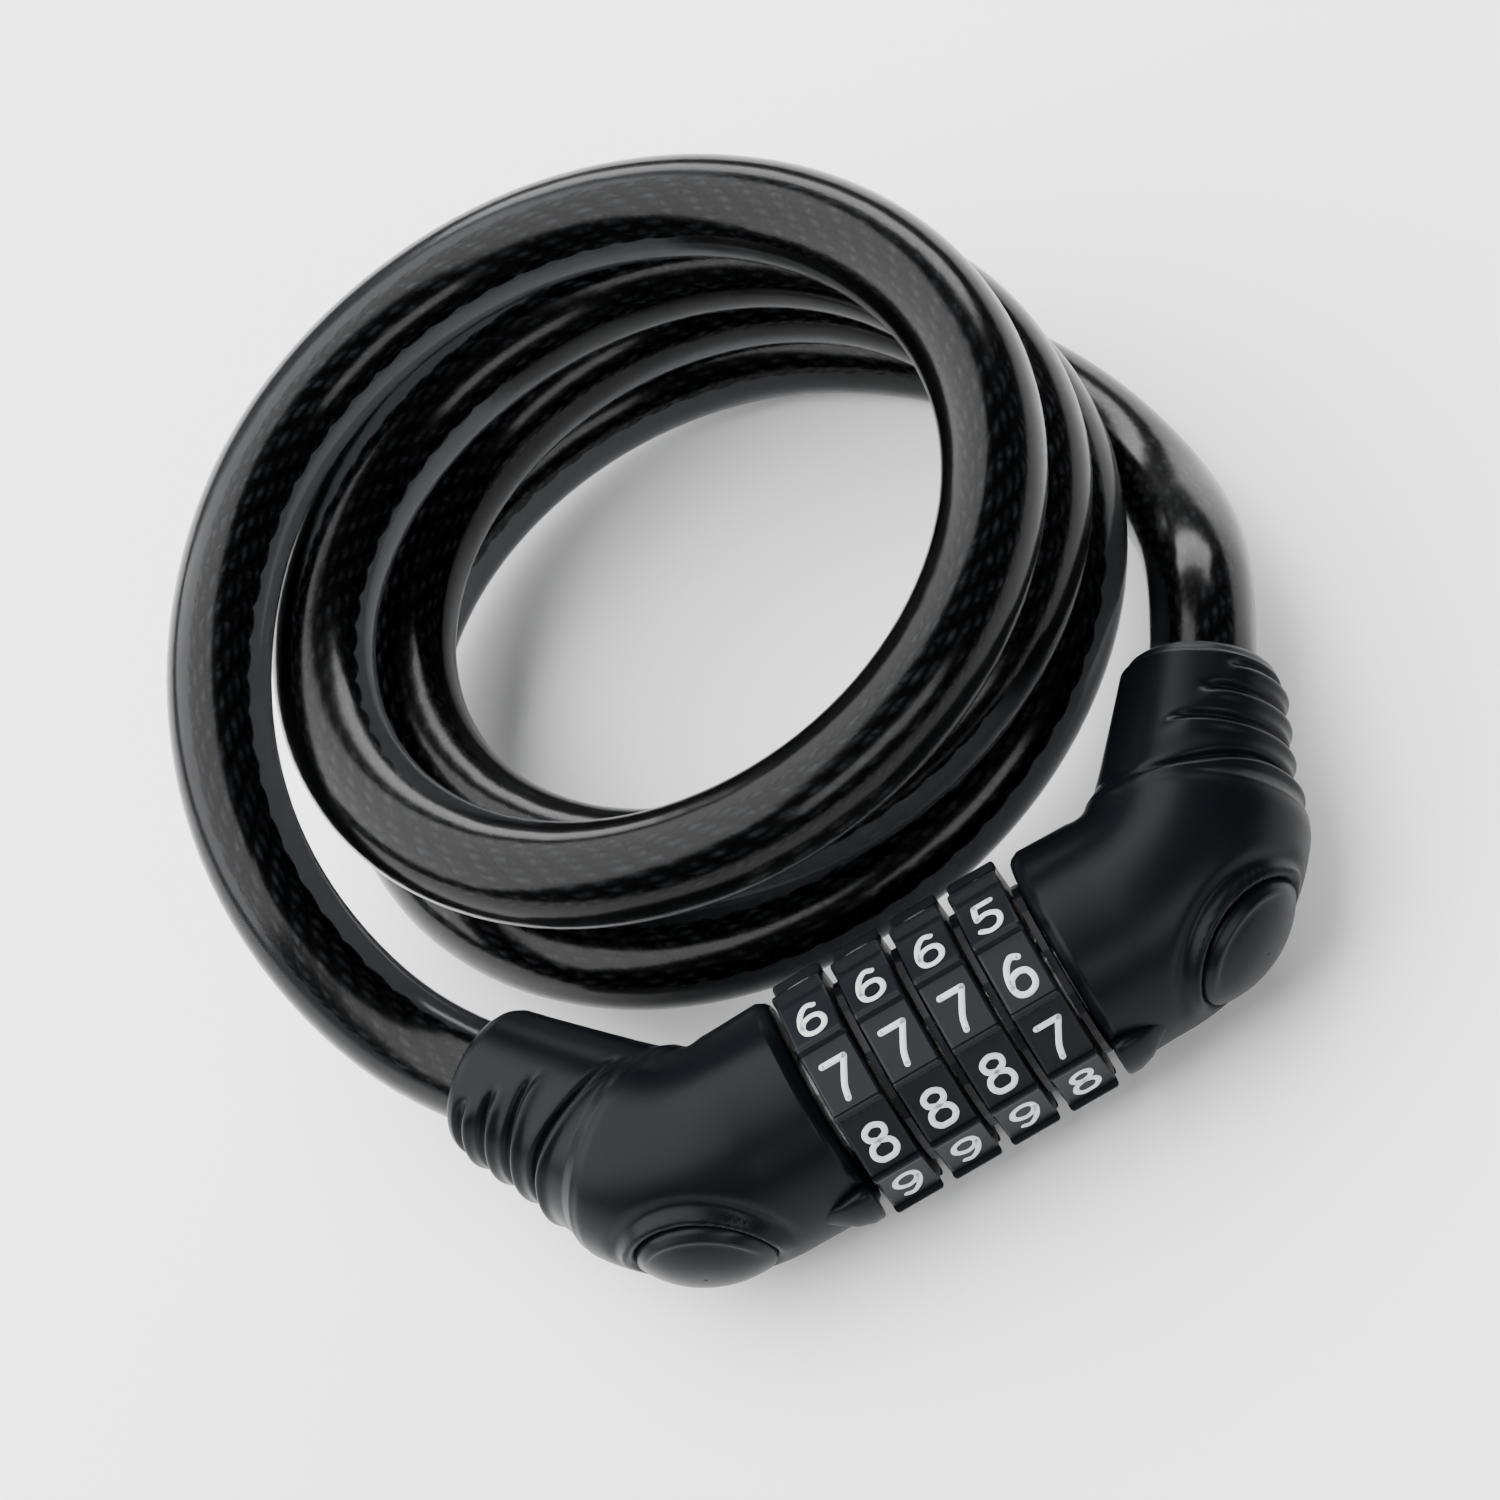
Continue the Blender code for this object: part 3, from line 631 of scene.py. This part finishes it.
# Strokes in a box one wide and one high, from its lower left corner.
STROKES = {
    0: [[(0.5, 1.0), (0.12, 0.82), (0.0, 0.5), (0.12, 0.18), (0.5, 0.0), (0.88, 0.18), (1.0, 0.5),
         (0.88, 0.82), (0.5, 1.0)]],
    1: [[(0.2, 0.78), (0.6, 1.0), (0.6, 0.5), (0.6, 0.0)]],
    2: [[(0.05, 0.76), (0.25, 0.96), (0.6, 1.0), (0.92, 0.82), (0.86, 0.56), (0.5, 0.28), (0.05, 0.0)],
        [(0.05, 0.0), (0.5, 0.0), (1.0, 0.0)]],
    3: [[(0.05, 0.86), (0.4, 1.0), (0.82, 0.9), (0.88, 0.68), (0.62, 0.53), (0.4, 0.52)],
        [(0.4, 0.52), (0.8, 0.46), (0.98, 0.26), (0.78, 0.05), (0.4, 0.0), (0.02, 0.14)]],
    4: [[(0.7, 1.0), (0.36, 0.64), (0.0, 0.28)], [(0.0, 0.28), (0.5, 0.28), (1.0, 0.28)],
        [(0.7, 1.0), (0.7, 0.5), (0.7, 0.0)]],
    5: [[(0.9, 1.0), (0.5, 1.0), (0.16, 1.0)], [(0.16, 1.0), (0.1, 0.76), (0.08, 0.54)],
        [(0.08, 0.54), (0.5, 0.62), (0.9, 0.5), (0.98, 0.28), (0.8, 0.06), (0.4, 0.0), (0.02, 0.12)]],
    6: [[(0.82, 0.94), (0.5, 1.0), (0.16, 0.78), (0.0, 0.4), (0.12, 0.1), (0.5, 0.0), (0.88, 0.1),
         (1.0, 0.32), (0.86, 0.54), (0.5, 0.6), (0.16, 0.5), (0.02, 0.3)]],
    7: [[(0.0, 1.0), (0.5, 1.0), (1.0, 1.0)], [(1.0, 1.0), (0.68, 0.62), (0.44, 0.3), (0.34, 0.0)]],
    8: [[(0.5, 0.54), (0.14, 0.66), (0.12, 0.88), (0.5, 1.0), (0.88, 0.88), (0.86, 0.66), (0.5, 0.54),
         (0.1, 0.42), (0.0, 0.2), (0.2, 0.03), (0.5, 0.0), (0.8, 0.03), (1.0, 0.2), (0.9, 0.42),
         (0.5, 0.54)]],
    9: [[(0.98, 0.7), (0.84, 0.5), (0.5, 0.4), (0.14, 0.5), (0.0, 0.68), (0.12, 0.9), (0.5, 1.0),
         (0.88, 0.9), (1.0, 0.6), (0.84, 0.22), (0.5, 0.0), (0.18, 0.06)]],
}

APOTHEM = DIAL_CORNERS_R * math.cos(math.pi / FACE_COUNT)
HALF_FACE = DIAL_CORNERS_R * math.sin(math.pi / FACE_COUNT)
# points over one face: distance up it from its middle, and height over the decagon
FACE_POINTS = [(-HALF_FACE + 0.1, FACE_LIFT - 0.1), (-HALF_FACE + 0.35, FACE_LIFT),
               (HALF_FACE - 1.25, FACE_LIFT), (HALF_FACE - 0.75, -0.03), (HALF_FACE - 0.3, 0.0),
               (HALF_FACE - 0.08, -0.14)]


def ring_section():
    """Outline of a number ring, seen along the axis: ten flat faces with a step between them."""
    outline = []
    for k in range(FACE_COUNT):
        turn = 2 * math.pi * k / FACE_COUNT
        for across, lift in FACE_POINTS:
            radial = APOTHEM + lift
            outline.append((-radial * math.cos(turn) + across * math.sin(turn),
                            radial * math.sin(turn) + across * math.cos(turn)))
    return outline


def number_ring(index):
    """A ring with its bore, swept from side to side with rounded corners."""
    x = (index - 1.5) * DIAL_PITCH
    half = DIAL_WIDTH / 2
    outline = ring_section()
    count = len(outline)
    vertices = []
    # distance along the axis and inset of the outline, with None for the bore
    levels = [(-half + 0.02, None), (-half, 0.35), (-half + 0.12, 0.1), (-half + 0.35, 0.0),
              (half - 0.35, 0.0), (half - 0.12, 0.1), (half, 0.35), (half - 0.02, None)]
    for level, inset in levels:
        for y, z in outline:
            radius = math.hypot(y, z)
            scale = DIAL_BORE_R / radius if inset is None else (radius - inset) / radius
            vertices.append(Vector((x + level, y * scale, z * scale)))
    faces = tube_faces(len(levels), count, ends=False)
    last = (len(levels) - 1) * count
    faces += [(last + j, last + (j + 1) % count, (j + 1) % count, j) for j in range(count)]
    ring = new_object(f"number_ring_shell_{index + 1}", vertices, faces, DIAL, IN_ROW, smooth=False)
    ring.data.flip_normals()
    return ring


STROKE_STEPS = 6
CAP_SIDES = 14                      # of a stroke's round end
PAINT_HEIGHT = 0.07
PAINT_FLAT = 0.75                   # share of a stroke's width at full height


def stroke_line(points):
    """A smooth line through a stroke's points."""
    line = []
    for i in range(len(points) - 1):
        around = [Vector(points[max(i - 1, 0)]), Vector(points[i]), Vector(points[i + 1]),
                  Vector(points[min(i + 2, len(points) - 1)])]
        line += [cubic(around, k / STROKE_STEPS) for k in range(STROKE_STEPS)]
    return line + [Vector(points[-1])]


def digit_faces(digit):
    """Low rounded strokes of a digit, as (points, faces) in the plane of a dial's face."""
    vertices, faces = [], []
    for points in STROKES[digit]:
        line = [Vector(((p.x - 0.5) * DIGIT_WIDTH, (p.y - 0.5) * DIGIT_HEIGHT)) for p in stroke_line(points)]
        for i, p in enumerate(line):
            tangent = (line[min(i + 1, len(line) - 1)] - line[max(i - 1, 0)]).normalized()
            normal = Vector((-tangent.y, tangent.x))
            for shift, lift in ((-1.0, 0.0), (-PAINT_FLAT, PAINT_HEIGHT), (PAINT_FLAT, PAINT_HEIGHT),
                                (1.0, 0.0)):
                q = p + normal * shift * STROKE
                vertices.append((q.x, q.y, lift))
        base = len(vertices) - len(line) * 4
        for i in range(len(line) - 1):
            for j in range(3):
                a = base + i * 4 + j
                faces.append((a, a + 1, a + 5, a + 4))
        # round ends
        for end in (line[0], line[-1]):
            centre = len(vertices)
            vertices.append((end.x, end.y, PAINT_HEIGHT))
            for k in range(CAP_SIDES):
                angle = 2 * math.pi * k / CAP_SIDES
                for reach, lift in ((PAINT_FLAT, PAINT_HEIGHT), (1.0, 0.0)):
                    vertices.append((end.x + STROKE * reach * math.cos(angle),
                                     end.y + STROKE * reach * math.sin(angle), lift))
            for k in range(CAP_SIDES):
                a, b = centre + 1 + 2 * k, centre + 1 + 2 * ((k + 1) % CAP_SIDES)
                faces.append((centre, a, b))
                faces.append((a, a + 1, b + 1, b))
    return vertices, faces


def ring_digits(index):
    """The ten painted numbers of a ring."""
    x = (index - 1.5) * DIAL_PITCH
    vertices, faces = [], []
    for k in range(FACE_COUNT):
        digit = (FRONT_DIGITS[index] - k) % 10
        points, quads = digit_faces(digit)
        turn = 2 * math.pi * k / FACE_COUNT
        out = Vector((0, -math.cos(turn), math.sin(turn)))
        up = Vector((0, math.sin(turn), math.cos(turn)))
        base = len(vertices)
        for across, height, lift in points:
            vertices.append(Vector((x + across, 0, 0)) + up * (height + DIGIT_RISE)
                            + out * (APOTHEM + FACE_LIFT + lift))
        faces += [tuple(base + v for v in quad) for quad in quads]
    return new_object(f"digits_{index + 1}", vertices, faces, PAINT, IN_ROW)


for index in range(4):
    ring = number_ring(index)
    digits = ring_digits(index)
    for piece in (ring, digits):
        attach(piece, f"dial_{index + 1}")
    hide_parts(f"number_ring_{index + 1}")


# ---- studio -------------------------------------------------------------------------------------
FLOOR_SIZE = 4.0                    # metres
floor_look, _, _ = node_material("floor_look", Base_Color=(0.97, 0.97, 0.97, 1), Roughness=0.8)
corners = [(-1, -1, 0), (1, -1, 0), (1, 1, 0), (-1, 1, 0)]
floor = new_object("floor", [Vector(c) * FLOOR_SIZE / 2 / MM for c in corners], [(0, 1, 2, 3)], floor_look)


def area_light(name, place, size, power):
    """A soft white rectangle that faces the lock, in metres and watts."""
    data = bpy.data.lights.new(name, "AREA")
    data.shape = "RECTANGLE"
    data.size, data.size_y = size
    data.energy = power
    obj = bpy.data.objects.new(name, data)
    obj.location = place
    obj.rotation_euler = (Vector(LIGHT_TARGET) - Vector(place)).to_track_quat("-Z", "Y").to_euler()
    bpy.context.scene.collection.objects.link(obj)


world = bpy.data.worlds.new("studio")
world.use_nodes = True
background = world.node_tree.nodes["Background"]
background.inputs["Color"].default_value = (0.93, 0.96, 1.0, 1)
background.inputs["Strength"].default_value = 0.12
bpy.context.scene.world = world

LIGHT_TARGET = (0, 0.035, 0.02)
for light in (("key", (-0.55, 0.3, 0.85), (1.8, 1.8), 76), ("back", (0.35, 0.85, 0.45), (0.9, 0.3), 12),
              ("front", (0.3, -0.8, 0.6), (0.8, 0.3), 6)):
    area_light(*light)

# ---- camera -------------------------------------------------------------------------------------
# Seen from above the dials, a little from the right, with the camera rolled.
TARGET = Vector((-3.0, 44.5 + axis_point.y, 20.0)) * MM
DISTANCE = 0.9
ELEVATION = math.radians(51.0)
AZIMUTH = math.radians(6.0)
ROLL = math.radians(35.0)
LENS = 190.6
toward = Vector((math.sin(AZIMUTH) * math.cos(ELEVATION), -math.cos(AZIMUTH) * math.cos(ELEVATION),
                 math.sin(ELEVATION)))
right = Vector((math.cos(AZIMUTH), math.sin(AZIMUTH), 0))
up = toward.cross(right)
image_x = right * math.cos(ROLL) - up * math.sin(ROLL)
image_y = right * math.sin(ROLL) + up * math.cos(ROLL)
camera = bpy.data.objects.new("camera", bpy.data.cameras.new("camera"))
camera.data.lens = LENS
camera.data.sensor_width = 36
camera.data.clip_start = 0.05
camera.matrix_world = Matrix.Translation(TARGET + toward * DISTANCE) @ Matrix(
    (image_x, image_y, toward)).transposed().to_4x4()
bpy.context.scene.collection.objects.link(camera)
bpy.context.scene.camera = camera
